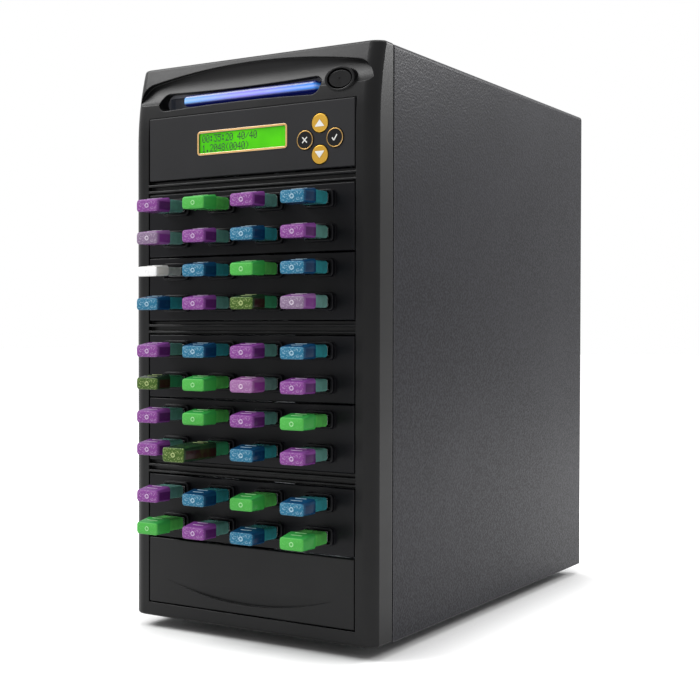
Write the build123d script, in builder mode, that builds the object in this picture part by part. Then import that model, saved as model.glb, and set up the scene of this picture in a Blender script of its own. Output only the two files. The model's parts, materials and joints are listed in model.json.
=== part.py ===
from build123d import *
import os
from math import radians, sin, sqrt

os.makedirs("parts", exist_ok=True)

# Tower for copying USB sticks, in millimetres. The front looks along -Y, +X is to the right
# of someone who faces it, and the feet stand on Z = 0, centred below the whole object.

# Case
body_width = 186.0
body_depth = 328.0  # front face of the bays to the rear edge of the metal cover
foot_height = 8.0
gauge = 1.0  # sheet steel
fold_radius = 3.0  # outside of the cover's long top folds
flange_width = 10.0  # folded edges of the sheet steel
sheet_gap = 0.1  # between two sheets that slide past each other
past = 1.0  # how far a cut goes past the faces that it opens

# Heights of the front, from the bottom up
rail_height = 9.0
cover_height = 44.0
bay_pitch = 41.4  # a half-height drive bay
divider_height = 8.5
header_height = 34.1
bays_per_opening = (1, 2, 2)

# Front moulding
bezel_depth = 21.0
bezel_wall = 5.0
bezel_side_wall = 3.0
header_wall = 12.0
opening_side = 13.3  # moulding on either side of the bays
shoulder_width = 8.5  # rounded part of the front on either side
crease_drop = 5.8
crown_height = 51.0  # part of the front that leans back to the top
crown_radius = 165.0
crown_sections = 5
bezel_edge = 2.0
ridge_height = 1.3
top_groove = 2.2
middle_groove = 2.8
groove_depth = 3.8
seam_gap = 1.6  # between the moulding and the metal cover
clip_width, clip_thickness, clip_reach = 8.0, 2.0, 9.0
clip_gap = 0.3
clip_root = 0.5  # sunk into the side wall
clip_heights = (30.0, 180.0, 316.0)

# Hollow above the control panel, with its light slot and power button
scoop_side = 3.5  # from either side
arch_radius = 436.0
arch_below_top = 3.7
arch_corner = 13.0
scoop_depth = 8.5
scoop_low = 9.0  # lower edge, above the control panel
scoop_bend = 25.0  # where its floor stands upright, above the control panel
slot_side = 20.2  # from the left side of the front
slot_to_button = 14.7  # from the slot's right end to the centre of the button
slot_height = 12.0
slot_waist = 9.6
slot_above_panel = 10.2
tube_height, tube_depth = 7.0, 12.3
tube_insets = (18.2, 4.3)  # from the slot's left and right ends
tube_setback = 4.5
tube_corner = 2.4
reflector_depth = 7.4
reflector_margin = 1.5  # covers the slot from behind
reflector_rim = 2.0  # closes each end of its channel
reflector_clearance = 0.3
ring_size = (21.0, 14.4)
ring_front = 0.8
button_size = (16.0, 10.5)
button_side = 25.5  # from the right side of the front
button_above_panel = 11.9
button_gap = 0.9
button_travel = 2.5
button_lip = (19.6, 13.8, 1.0)
button_stem_radius = 3.0
button_dot = (0.8, 0.4)  # radius and depth
press_gap = 0.3  # left between a pressed button or key and its switch
switch_size = (12.0, 3.0, 9.0)

# Panels in the bays
panel_gap = 0.8
panel_thickness = 3.0
panel_edge = 0.6
arm_thickness, arm_height, arm_reach = 2.0, 32.0, 50.0
smile_side, smile_below_centre = 14.0, 5.0
smile_radius, smile_depth = 206.0, 1.8

# Control panel
window_side = 41.1  # from the left edge of the panel
window_to_keys = 25.1  # from the window's right end to the middle of the keys
window_height = 12.8
window_above_centre = 1.4
window_corner = 1.0
window_gap = 0.15
trim_width, trim_height = 1.2, 0.3
display_margin = (4.5, 5.6)  # of the display module, round its window
display_recess = 0.6
key_diameter = 11.6
key_gap = 0.4
key_stand = 0.6
key_lip, key_lip_thickness = 0.9, 0.8
key_stem_radius = 2.0
key_travel = 0.5
keys_side, keys_below_centre = 24.5, 2.5  # from the right edge of the panel
key_spread = (10.7, 9.5)
tact_size, tact_height, tact_gap = 6.0, 3.0, 0.1
board_setback = 9.5
board_thickness = 1.6
control_board_side, control_board_height = 8.7, 34.0
control_parts = {-45.0: (30.0, 6.0, 8.0), -8.0: (24.0, 24.0, 1.6), 30.0: (14.0, 10.0, 1.2)}
post_diameter = 5.0
post_inset = 4.0

# USB ports
ports_across, ports_up = 4, 2
port_pitch, port_row_pitch = 36.6, 20.4
port_rise = 1.0  # of the two rows above the middle of the bay
surround_size = (21.0, 11.0)
surround_height = 3.0
surround_corner = 2.6
surround_rim = 1.3
shell_size = (13.1, 5.7)
shell_wall = 0.35
shell_corner = 0.3
shell_setback = 1.0  # behind the front of its surround
fit_gap = 0.1
socket_length = 19.0
tongue_size = (10.8, 1.8)
tongue_setback = 2.0
hub_board_height = 32.0
hub_board_gap = 0.2
hub_chip = (8.0, 8.0, 1.4)
hub_header = (40.0, 6.0, 8.0)

# USB sticks
# A stick is its tip size, its size where the cap meets the neck, and its reach from the panel
plain_stick = ((17.0, 7.4), (19.0, 9.2), 31.2)
flat_stick = ((15.8, 6.2), (16.4, 6.8), 31.2)
long_stick = ((16.7, 8.8), (19.0, 9.8), 50.0)
stick_corner = 1.8
tip_drop = 1.0  # the cap slopes down to its tip
stick_edge = 0.7
neck_length = 10.8
neck_inset = 0.8
plug_show = 8.2  # plug in sight between the neck and the panel
plug_size = (12.0, 4.5)
plug_insertion = 11.5
plug_cut = (11.3, 2.2)
plug_floor = 1.0  # closes the hollow plug behind the neck

# Cage and frame
floor_flange = 14.0
cage_gap = 0.9
cage_depth = 150.0
cage_window = (46.0, 22.0)
cage_window_inset = 50.0
frame_clearance = 0.5

# Rear
screw_radius, head_radius, head_height = 1.5, 3.0, 2.2
screw_slack = 0.1
screw_length = 6.0
module_screw_y, module_screw_length = 38.0, 4.0
cover_screw_heights = (40.0, 190.0, 321.0)
vent_size = (14.0, 3.0)
vent_pitch = (20.0, 8.0)
vent_count = (7, 6)
intake_count = (6, 8)
vent_centre_height = 62.0
hole_corner = 3.0
fan_size = 80.0
fan_depth = 25.0
fan_bore_radius = 38.0
fan_hole_pitch = 71.5
fan_centre_height = 150.0
fan_hub_radius = 15.0
fan_spider, fan_spoke = 4.0, 2.0
fan_post_radius = 1.5
running_gap = 0.05
blade_count = 7
blade_gap = 1.0
blade_thickness = 1.4
blade_lean = 35.0
blade_root = 2.0  # sunk into the hub
guard_wire = 1.6
guard_rings = (10.0, 18.5, 27.0, 35.5)
eyelet_radius = 3.6

# Power supply
supply_width, supply_height, supply_depth = 150.0, 86.0, 140.0
supply_drop = 1.5  # below the top sheet
supply_opening = (130.0, 82.0)
supply_fan_x = 24.0
supply_screw_pitch = (140.0, 72.0)
mains_x = -45.0
inlet_below_centre = 14.0
inlet_size = (27.4, 19.8)
inlet_flange = (31.0, 23.0, 1.8)
inlet_depth = 20.0
inlet_cavity = (24.0, 16.4, 17.0)
pin_size = (2.0, 4.0, 11.0)
pin_pitch, pin_drop, earth_rise = 14.0, 2.0, 4.0
inlet_chamfer = 4.0
rocker_above_centre = 18.0
rocker_frame = (22.0, 16.0, 1.6)
rocker_body = (19.4, 13.4, 12.0)
rocker_size = (15.0, 10.0)
rocker_half_throw = 8.0
rocker_pivot_radius = 1.2
rocker_wall = 1.4
rocker_corner = 1.0
rocker_pocket_gap = 0.2
rocker_rise, rocker_end_gap = 0.6, 0.8
rocker_root = (3.0, 2.0)  # depth and half height behind the pivot
board_posts = 5.0
supply_board_size = (126.0, 96.0)
supply_board_setback = 4.0
transformer_size, transformer_y = (36.0, 28.0, 30.0), 48.0
sink_size, sink_places = (5.0, 76.0, 42.0), (-40.0, 38.0)
can_radius, can_height, can_places = 10.0, 32.0, (20.0, 78.0)

# Feet
foot_radius = 11.0
foot_taper = 1.5
foot_x = 66.0
foot_inset = 42.0

# Levels and faces that follow from the sizes above
half_width = body_width / 2
frame_half = half_width - shoulder_width
opening_width = body_width - 2 * opening_side
scoop_half = half_width - scoop_side
inner_half = half_width - gauge
rear_reach = guard_wire + head_height - gauge  # fan screw heads behind the cover's rear edge
face = (long_stick[-1] - body_depth - rear_reach) / 2
rear = face + body_depth
seam = face + bezel_depth
frame_back = seam + gauge
rear_skin = rear - gauge
panel_back = rear_skin - gauge
bottom = foot_height
sheet_floor = bottom + gauge
floor_top = sheet_floor + gauge

level = bottom + rail_height
cover_bottom = level
openings = []
usb_bays = []
for bay_count in bays_per_opening:
    opening_bottom = level
    if opening_bottom == cover_bottom:
        level += cover_height
    for _ in range(bay_count):
        usb_bays.insert(0, level + bay_pitch / 2)
        level += bay_pitch
    openings.append((opening_bottom, level))
    level += divider_height
control_z = level + bay_pitch / 2
control_top = level + bay_pitch
openings.append((level, control_top))
top = control_top + header_height
crown_start = top - crown_height

panel_width = opening_width - 2 * panel_gap
panel_half = panel_width / 2
panel_height = bay_pitch - panel_gap
port_columns = [(i - (ports_across - 1) / 2) * port_pitch for i in range(ports_across)]
port_rows = [port_rise + ((ports_up - 1) / 2 - i) * port_row_pitch for i in range(ports_up)]
socket_front = face - surround_height + shell_setback
socket_back = socket_front + socket_length
button_x, button_z = half_width - button_side, control_top + button_above_panel
slot_left, slot_right = slot_side - half_width, button_x - slot_to_button
slot_x, slot_length = (slot_left + slot_right) / 2, slot_right - slot_left
slot_z = control_top + slot_above_panel
header_back = face + header_wall
supply_top = top - gauge - supply_drop
supply_z = supply_top - supply_height / 2
supply_front = panel_back - supply_depth
rocker_z = supply_z + rocker_above_centre
inlet_z = supply_z - inlet_below_centre
inlet_place, rocker_place = (mains_x, inlet_z), (mains_x, rocker_z)
fan_z = bottom + fan_centre_height


# Shapes used again and again
def front_plane(y):
    return Plane.XZ.offset(-y)


def block(x, y, z, mode=Mode.ADD):
    spans = [sorted(span) for span in (x, y, z)]
    with Locations(tuple((low + high) / 2 for low, high in spans)):
        Box(*(high - low for low, high in spans), mode=mode)


def rod(radius, x, z, y, mode=Mode.ADD):
    with Locations(Location((x, (y[0] + y[1]) / 2, z), (90, 0, 0))):
        Cylinder(radius, abs(y[1] - y[0]), mode=mode)


def bar(size, corner, places, y, mode=Mode.ADD):
    with BuildSketch(front_plane(y[0])) as profile:
        with Locations(*places):
            RectangleRounded(*size, corner)
    extrude(profile.sketch, amount=y[0] - y[1], mode=mode)


def oval(size, x, z, y, mode=Mode.ADD):
    with BuildSketch(front_plane(y[0])) as profile:
        with Locations((x, z)):
            Ellipse(size[0] / 2, size[1] / 2)
    extrude(profile.sketch, amount=y[0] - y[1], mode=mode)


def round_front(builder, y, radius):
    front = builder.edges().filter_by_position(Axis.Y, y - radius / 100, y + radius / 100)
    fillet(front, radius)


def save(part, name):
    part.label = name
    export_step(part, f"parts/{name}.step")


# Front moulding: its plan is the same at every height, and moves back near the top
def lean(z):
    return max(z - crown_start, 0) ** 2 / (2 * crown_radius)


def bezel_section(z):
    front = face + lean(z)
    with BuildSketch(Plane.XY.offset(z)) as section:
        with BuildLine():
            flat = Line((-frame_half, front), (frame_half, front))
            right = TangentArc(flat @ 1, (half_width, front + crease_drop), tangent=(1, 0))
            left = TangentArc(flat @ 0, (-half_width, front + crease_drop), tangent=(-1, 0))
            Polyline(right @ 1, (half_width, seam), (-half_width, seam), left @ 1)
        make_face()
    return section.sketch


# Hollow in the header: an arch seen from the front, a quarter pipe seen from the side
arch_peak = top - arch_below_top
scoop_floor = control_top + scoop_low
scoop_upright = control_top + scoop_bend
with BuildPart() as scoop:
    with BuildSketch(front_plane(face - bezel_depth)) as arch:
        with Locations((0, arch_peak - arch_radius)):
            Circle(arch_radius)
        with Locations((0, scoop_floor)):
            Rectangle(
                2 * scoop_half,
                header_height,
                align=(Align.CENTER, Align.MIN),
                mode=Mode.INTERSECT,
            )
        fillet(arch.vertices().group_by(Axis.Y)[-1], arch_corner)
    extrude(amount=-2 * bezel_depth)
    with BuildSketch(Plane.YZ) as side:
        with BuildLine():
            wall = Line((face + scoop_depth, top), (face + scoop_depth, scoop_upright))
            floor = TangentArc(wall @ 1, (face + lean(scoop_floor), scoop_floor), tangent=(0, -1))
            Polyline(
                floor @ 1,
                (face - bezel_depth, scoop_floor),
                (face - bezel_depth, top),
                wall @ 0,
            )
        make_face()
    extrude(amount=half_width, both=True, mode=Mode.INTERSECT)

clip_levels = [bottom + height for height in clip_heights]
clip_x = half_width - bezel_side_wall

with BuildPart() as front_bezel:
    extrude(bezel_section(bottom), amount=crown_start - bottom)
    loft([bezel_section(crown_start + crown_height * i / crown_sections)
          for i in range(crown_sections + 1)])
    rims = front_bezel.edges().group_by(Axis.Z)[-1] + front_bezel.edges().group_by(Axis.Z)[0]
    fillet([e for e in rims if (e @ 0.5).Y < seam - bezel_edge], bezel_edge)
    add(scoop.part, mode=Mode.SUBTRACT)
    cavity_half = half_width - bezel_side_wall
    block((-cavity_half, cavity_half), (face + bezel_wall, seam),
          (bottom + bezel_side_wall, control_top + gauge), Mode.SUBTRACT)
    block((-cavity_half, cavity_half), (header_back, seam),
          (control_top, top - bezel_side_wall), Mode.SUBTRACT)
    for low, high in openings:
        block((-opening_width / 2, opening_width / 2), (face - past, header_back + past),
              (low, high), Mode.SUBTRACT)
    for (_, low), (high, _) in zip(openings, openings[1:]):
        for groove_top, groove in (
            (high, top_groove),
            (high - top_groove - ridge_height, middle_groove),
        ):
            block((-opening_width / 2, opening_width / 2), (face - past, face + groove_depth),
                  (groove_top - groove, groove_top), Mode.SUBTRACT)
        lip_top = high - top_groove - middle_groove - 2 * ridge_height
        block((-opening_width / 2, opening_width / 2), (face - past, face + groove_depth),
              (low, lip_top), Mode.SUBTRACT)
    with BuildSketch(front_plane(face - past)) as slot:
        with BuildLine():
            straight = (slot_length - slot_height) / 2
            for side_sign in (-1, 1):
                ThreePointArc(
                    (slot_x - straight, slot_z + side_sign * slot_height / 2),
                    (slot_x, slot_z + side_sign * slot_waist / 2),
                    (slot_x + straight, slot_z + side_sign * slot_height / 2),
                )
                ThreePointArc(
                    (slot_x + side_sign * straight, slot_z - slot_height / 2),
                    (slot_x + side_sign * slot_length / 2, slot_z),
                    (slot_x + side_sign * straight, slot_z + slot_height / 2),
                )
        make_face()
    extrude(amount=-(header_wall + 2 * past), mode=Mode.SUBTRACT)
    oval(ring_size, button_x, button_z, (face + ring_front, header_back))
    hole_size = tuple(size + 2 * button_gap for size in button_size)
    oval(hole_size, button_x, button_z, (face - past, header_back + past), Mode.SUBTRACT)
    for side_sign in (-1, 1):
        for clip_z in clip_levels:
            block((side_sign * (clip_x - clip_thickness), side_sign * (clip_x + clip_root)),
                  (seam - clip_reach, seam + clip_reach),
                  (clip_z - clip_width / 2, clip_z + clip_width / 2))
save(front_bezel.part, "front_bezel")

# Light behind the slot
with BuildPart() as light_reflector:
    reflector_back = header_back + reflector_depth
    block((slot_left - reflector_margin, slot_right + reflector_margin),
          (header_back, reflector_back),
          (slot_z - slot_height / 2 - reflector_margin,
           slot_z + slot_height / 2 + reflector_margin))
    channel_back = face + tube_setback + tube_depth
    block((slot_left + reflector_rim, slot_right - reflector_rim),
          (header_back - past, channel_back),
          (slot_z - tube_height / 2 - reflector_clearance,
           slot_z + tube_height / 2 + reflector_clearance), Mode.SUBTRACT)
save(light_reflector.part, "light_reflector")

with BuildPart() as light_tube:
    tube_left, tube_right = slot_left + tube_insets[0], slot_right - tube_insets[1]
    bar((tube_right - tube_left, tube_height), tube_corner,
        [((tube_left + tube_right) / 2, slot_z)],
        (face + tube_setback, channel_back))
    round_front(light_tube, face + tube_setback, tube_corner)
save(light_tube.part, "light_tube")

# Power button: its lip keeps it behind the moulding, and its stem reaches the switch
lip_front = header_back + press_gap
switch_front = seam - switch_size[1]
with BuildPart() as power_button:
    stem_back = switch_front - button_travel - press_gap
    oval(button_size, button_x, button_z, (face + ring_front + panel_edge, lip_front))
    round_front(power_button, face + ring_front + panel_edge, panel_edge)
    oval(button_lip[:2], button_x, button_z, (lip_front, lip_front + button_lip[2]))
    rod(button_stem_radius, button_x, button_z, (lip_front, stem_back))
    rod(button_dot[0], button_x, button_z,
        (face, face + ring_front + panel_edge + button_dot[1]), Mode.SUBTRACT)
save(power_button.part, "power_button")

with BuildPart() as power_switch:
    block((button_x - switch_size[0] / 2, button_x + switch_size[0] / 2), (switch_front, seam),
          (button_z - switch_size[2] / 2, button_z + switch_size[2] / 2))
save(power_switch.part, "power_switch")


# Panels with two side arms that are screwed to the bay cage
def bay_panel(z):
    bar((panel_width, panel_height), panel_edge, [(0, z)], (face, face + panel_thickness))


def bay_arms(z):
    for side_sign in (-1, 1):
        arm_x = side_sign * panel_half
        block((arm_x, arm_x - side_sign * arm_thickness),
              (face + panel_thickness, face + arm_reach),
              (z - arm_height / 2, z + arm_height / 2))
        module_screw_hole(side_sign, z)


def module_screw_hole(side_sign, z):
    with Locations(Location((side_sign * panel_half, face + module_screw_y, z), (0, 90, 0))):
        Cylinder(screw_radius, 2 * (arm_thickness + past), mode=Mode.SUBTRACT)


key_centre = (panel_half - keys_side, control_z - keys_below_centre)
key_places = {
    "key_up": (key_centre[0], key_centre[1] + key_spread[1]),
    "key_down": (key_centre[0], key_centre[1] - key_spread[1]),
    "key_escape": (key_centre[0] - key_spread[0], key_centre[1]),
    "key_enter": (key_centre[0] + key_spread[0], key_centre[1]),
}
window_left, window_right = window_side - panel_half, key_centre[0] - window_to_keys
window_size = (window_right - window_left, window_height)
window_place = ((window_left + window_right) / 2, control_z + window_above_centre)
board_half = panel_half - control_board_side
board_front = face + board_setback

with BuildPart() as control_panel:
    bay_panel(control_z)
    round_front(control_panel, face, panel_edge)
    bay_arms(control_z)
    for post_x in (-1, 1):
        for post_z in (-1, 1):
            rod(post_diameter / 2, post_x * (board_half - post_inset),
                control_z + post_z * (control_board_height / 2 - post_inset),
                (face + panel_thickness, board_front))
    bar(window_size, window_corner, [window_place],
        (face - past, face + panel_thickness + past), Mode.SUBTRACT)
    for x, z in key_places.values():
        rod(key_diameter / 2 + key_gap, x, z,
            (face - past, face + panel_thickness + past), Mode.SUBTRACT)
save(control_panel.part, "control_panel")

with BuildPart() as lcd_trim:
    trim_outside = tuple(size + 2 * trim_width for size in window_size)
    bar(trim_outside, window_corner + trim_width, [window_place],
        (face - trim_height, face))
    bar(window_size, window_corner, [window_place], (face - past, face + past),
        Mode.SUBTRACT)
save(lcd_trim.part, "lcd_trim")

with BuildPart() as lcd_display:
    module_size = tuple(size + 2 * margin for size, margin in zip(window_size, display_margin))
    bar(module_size, panel_edge, [window_place], (face + panel_thickness, board_front))
    lens_size = tuple(size - 2 * window_gap for size in window_size)
    bar(lens_size, window_corner - window_gap, [window_place],
        (face + display_recess, face + panel_thickness))
save(lcd_display.part, "lcd_display")

with BuildPart() as control_board:
    block((-board_half, board_half), (board_front, board_front + board_thickness),
          (control_z - control_board_height / 2, control_z + control_board_height / 2))
    for x, z in key_places.values():
        block((x - tact_size / 2, x + tact_size / 2), (board_front - tact_height, board_front),
              (z - tact_size / 2, z + tact_size / 2))
    chip_back = board_front + board_thickness
    for part_x, (wide, high, thick) in control_parts.items():
        block((part_x - wide / 2, part_x + wide / 2), (chip_back, chip_back + thick),
              (control_z - high / 2, control_z + high / 2))
save(control_board.part, "control_board")

for key_name, (x, z) in key_places.items():
    with BuildPart() as key:
        lip_start = face + panel_thickness + press_gap
        rod(key_diameter / 2, x, z, (face - key_stand, lip_start))
        round_front(key, face - key_stand, panel_edge)
        rod(key_diameter / 2 + key_lip, x, z, (lip_start, lip_start + key_lip_thickness))
        rod(key_stem_radius, x, z,
            (lip_start, board_front - tact_height - key_travel - tact_gap))
    save(key.part, key_name)


# USB modules: panel, sockets and board are alike in every bay, so they are made at height 0
# and copied to the centre of each bay
ports = [(x, row) for row in port_rows for x in port_columns]
with BuildPart() as usb_panel:
    bay_panel(0)
    round_front(usb_panel, face, panel_edge)
    bay_arms(0)
    bar(surround_size, surround_corner, ports, (face - surround_height, face))
    round_front(usb_panel, face - surround_height, panel_edge)
    recess = tuple(size - 2 * surround_rim for size in surround_size)
    bar(recess, surround_corner - surround_rim, ports, (face - surround_height - past, face),
        Mode.SUBTRACT)
    mouth = tuple(size + 2 * fit_gap for size in shell_size)
    bar(mouth, shell_corner, ports, (face - past, face + panel_thickness + past), Mode.SUBTRACT)

with BuildPart() as usb_sockets:
    inside = tuple(size - 2 * shell_wall for size in shell_size)
    bar(shell_size, shell_corner, ports, (socket_front, socket_back))
    bar(inside, fit_gap, ports, (socket_front - past, socket_back - shell_wall), Mode.SUBTRACT)

with BuildPart() as hub_board:
    hub_half = panel_half - arm_thickness - hub_board_gap
    chip_face = socket_back + board_thickness
    block((-hub_half, hub_half), (socket_back, chip_face),
          (-hub_board_height / 2, hub_board_height / 2))
    for chip_x in port_columns:
        block((chip_x - hub_chip[0] / 2, chip_x + hub_chip[0] / 2),
              (chip_face, chip_face + hub_chip[2]), (-hub_chip[1] / 2, hub_chip[1] / 2))
    header_z = -port_row_pitch / 2
    block((-hub_header[0] / 2, hub_header[0] / 2), (chip_face, chip_face + hub_header[2]),
          (header_z - hub_header[1] / 2, header_z + hub_header[1] / 2))

for number, bay_z in enumerate(usb_bays, 1):
    bay = Pos(0, 0, bay_z)
    save(bay * usb_panel.part, f"usb_panel_{number}")
    save(bay * usb_sockets.part, f"usb_sockets_{number}")
    save(bay * hub_board.part, f"hub_board_{number}")

tongue_drop = (plug_size[1] - plug_cut[1]) / 2 - shell_wall
with BuildPart() as socket_tongues:
    tongue_front, tongue_back = socket_front + tongue_setback, socket_back - shell_wall
    with Locations(*((x, (tongue_front + tongue_back) / 2, bay_z + z - tongue_drop)
                     for bay_z in usb_bays for x, z in ports)):
        Box(tongue_size[0], tongue_back - tongue_front, tongue_size[1])
save(socket_tongues.part, "socket_tongues")


# Sticks: coloured cap, narrower neck and a plug that goes over the socket's tongue
def stick(x, tip_size, size, reach):
    neck_back = face - plug_show
    cap_back = neck_back - neck_length
    ends = []
    for y, drop, end_size in ((face - reach, tip_drop, tip_size), (cap_back, 0, size)):
        with BuildSketch(front_plane(y)) as end:
            with Locations((x, -drop)):
                RectangleRounded(*end_size, stick_corner)
        ends.append(end.sketch)
    loft(ends)
    neck = tuple(side - 2 * neck_inset for side in size)
    bar(neck, stick_corner, [(x, 0)], (cap_back, neck_back))
    plug_end = socket_front + plug_insertion
    bar(plug_size, fit_gap, [(x, 0)], (neck_back, plug_end))
    block((x - plug_cut[0] / 2, x + plug_cut[0] / 2), (neck_back + plug_floor, plug_end + past),
          (-tongue_drop - plug_cut[1] / 2, -tongue_drop + plug_cut[1] / 2), Mode.SUBTRACT)


def stick_row(odd_sticks):
    shapes = [odd_sticks.get(column, plain_stick) for column in range(1, ports_across + 1)]
    with BuildPart() as row:
        for x, shape in zip(port_columns, shapes):
            stick(x, *shape)
        for reach in {shape[-1] for shape in shapes}:
            round_front(row, face - reach, stick_edge)
    return row.part


# Most rows hold four sticks of one shape: the odd ones are keyed by row, then by column
odd_rows = {3: {1: flat_stick}, 8: {2: long_stick}}
plain_row = stick_row({})
row_heights = [bay_z + row for bay_z in usb_bays for row in port_rows]
for number, row_z in enumerate(row_heights, 1):
    row_part = stick_row(odd_rows[number]) if number in odd_rows else plain_row
    save(Pos(0, 0, row_z) * row_part, f"stick_row_{number}")

# Blank cover below the last USB panel, with a shallow smile that gets deeper towards its edge
cover_z = cover_bottom + cover_height / 2
smile_top = cover_z - smile_below_centre
smile_half = panel_half - smile_side
with BuildPart() as smile:
    with BuildSketch(front_plane(face - past)):
        with BuildLine():
            edge = RadiusArc((-smile_half, smile_top), (smile_half, smile_top), -smile_radius)
            Line(edge @ 1, edge @ 0)
        make_face()
    extrude(amount=-(smile_depth + 2 * past))
    smile_low = smile.part.bounding_box().min.Z
    with BuildSketch(Plane.YZ):
        with BuildLine():
            Polyline((face, smile_top), (face + smile_depth, smile_low),
                     (face - past, smile_low), (face - past, smile_top), close=True)
        make_face()
    extrude(amount=smile_half, both=True, mode=Mode.INTERSECT)

with BuildPart() as bottom_cover:
    bar((panel_width, cover_height - 2 * panel_gap), panel_edge, [(0, cover_z)],
        (face, face + panel_thickness))
    round_front(bottom_cover, face, panel_edge)
    for side_sign in (-1, 1):
        arm_x = side_sign * panel_half
        block((arm_x, arm_x - side_sign * arm_thickness),
              (face + panel_thickness, face + arm_reach),
              (cover_z - arm_height / 2, cover_z + arm_height / 2))
        module_screw_hole(side_sign, cover_z)
    add(smile.part, mode=Mode.SUBTRACT)
save(bottom_cover.part, "bottom_cover")

# Metal cover: top and two sides in one folded sheet, with a folded edge below and behind
screw_levels = [bottom + height for height in cover_screw_heights]
flange_screw_x = half_width - flange_width / 2 - gauge / 2
with BuildPart() as wrap_cover:
    cover_front = seam + seam_gap
    with BuildSketch(front_plane(cover_front)) as outline:
        with Locations((0, (bottom + top) / 2)):
            Rectangle(body_width, top - bottom)
        fillet(outline.vertices().group_by(Axis.Y)[-1], fold_radius)
    extrude(amount=cover_front - rear)
    with BuildSketch(front_plane(cover_front)) as inside_outline:
        with Locations((0, (bottom + top) / 2)):
            Rectangle(2 * inner_half, top - bottom - 2 * gauge)
        fillet(inside_outline.vertices().group_by(Axis.Y)[-1], fold_radius - gauge)
    extrude(amount=cover_front - rear_skin, mode=Mode.SUBTRACT)
    window_half = inner_half - flange_width
    block((-window_half, window_half), (cover_front, rear + past),
          (bottom - past, top - gauge), Mode.SUBTRACT)
    for side_sign in (-1, 1):
        for screw_z in screw_levels:
            rod(screw_radius + screw_slack, side_sign * flange_screw_x, screw_z,
                (rear_skin - past, rear + past), Mode.SUBTRACT)
save(wrap_cover.part, "wrap_cover")

# Chassis: the front frame and the rear panel fill the cover's inside
sheet_half = inner_half - sheet_gap
opening_half = opening_width / 2 + frame_clearance


def cross_sheet(y):
    sheet_top = top - gauge - sheet_gap
    with BuildSketch(front_plane(y[0])) as sheet:
        with Locations((0, (sheet_floor + sheet_top) / 2)):
            Rectangle(2 * sheet_half, sheet_top - sheet_floor)
        fillet(sheet.vertices().group_by(Axis.Y)[-1], fold_radius)
    extrude(sheet.sketch, amount=y[0] - y[1])


with BuildPart() as front_frame:
    cross_sheet((seam, frame_back))
    block((-opening_half, opening_half), (seam - past, frame_back + past),
          (cover_bottom, control_top), Mode.SUBTRACT)
    for side_sign in (-1, 1):
        for clip_z in clip_levels:
            block((side_sign * (clip_x - clip_thickness - clip_gap),
                   side_sign * (clip_x + clip_root + clip_gap)),
                  (seam - past, frame_back + past),
                  (clip_z - clip_width / 2 - clip_gap, clip_z + clip_width / 2 + clip_gap),
                  Mode.SUBTRACT)
save(front_frame.part, "front_frame")

with BuildPart() as chassis_floor:
    block((-sheet_half, sheet_half), (frame_back, panel_back), (sheet_floor, floor_top))
    for side_sign in (-1, 1):
        block((side_sign * sheet_half, side_sign * (sheet_half - gauge)),
              (frame_back + clip_reach, panel_back), (floor_top, floor_top + floor_flange))
save(chassis_floor.part, "chassis_floor")

cage_in = panel_half + cage_gap
for side_sign, cage_name in ((-1, "bay_cage_left"), (1, "bay_cage_right")):
    with BuildPart() as bay_cage:
        cage_back = frame_back + cage_depth
        web = (side_sign * cage_in, side_sign * (cage_in + gauge))
        block(web, (frame_back, cage_back), (floor_top, control_top))
        block((side_sign * cage_in, side_sign * (clip_x - clip_thickness - gauge)),
              (frame_back, frame_back + gauge), (floor_top, control_top))
        block((side_sign * cage_in, side_sign * (sheet_half - 2 * gauge)),
              (frame_back, cage_back), (floor_top, floor_top + gauge))
        for bay_z in (*usb_bays, control_z, cover_z):
            with Locations(Location(
                    (side_sign * cage_in, face + module_screw_y, bay_z), (0, 90, 0))):
                Cylinder(screw_radius + screw_slack, 2 * (gauge + past), mode=Mode.SUBTRACT)
            window_y = cage_back - cage_window_inset
            block((side_sign * (cage_in - past), side_sign * (cage_in + gauge + past)),
                  (window_y - cage_window[0] / 2, window_y + cage_window[0] / 2),
                  (bay_z - cage_window[1] / 2, bay_z + cage_window[1] / 2), Mode.SUBTRACT)
    save(bay_cage.part, cage_name)

fan_corners = [(x * fan_hole_pitch / 2, z * fan_hole_pitch / 2) for x in (-1, 1) for z in (-1, 1)]
supply_corners = [(x * supply_screw_pitch[0] / 2, z * supply_screw_pitch[1] / 2)
                  for x in (-1, 1) for z in (-1, 1)]
with BuildPart() as rear_panel:
    cross_sheet((panel_back, rear_skin))
    cut = (panel_back - past, rear_skin + past)
    bar(supply_opening, hole_corner, [(0, supply_z)], cut, Mode.SUBTRACT)
    rod(fan_bore_radius, 0, fan_z, cut, Mode.SUBTRACT)
    for x, z in fan_corners:
        rod(screw_radius + screw_slack, x, fan_z + z, cut, Mode.SUBTRACT)
    for x, z in supply_corners:
        rod(screw_radius + screw_slack, x, supply_z + z, cut, Mode.SUBTRACT)
    for side_sign in (-1, 1):
        for screw_z in screw_levels:
            rod(screw_radius, side_sign * flange_screw_x, screw_z, cut, Mode.SUBTRACT)
    with BuildSketch(front_plane(panel_back - past)) as vents:
        with Locations((0, bottom + vent_centre_height)):
            with GridLocations(*vent_pitch, *vent_count):
                SlotOverall(*vent_size)
    extrude(amount=-(gauge + 2 * past), mode=Mode.SUBTRACT)
save(rear_panel.part, "rear_panel")


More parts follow.
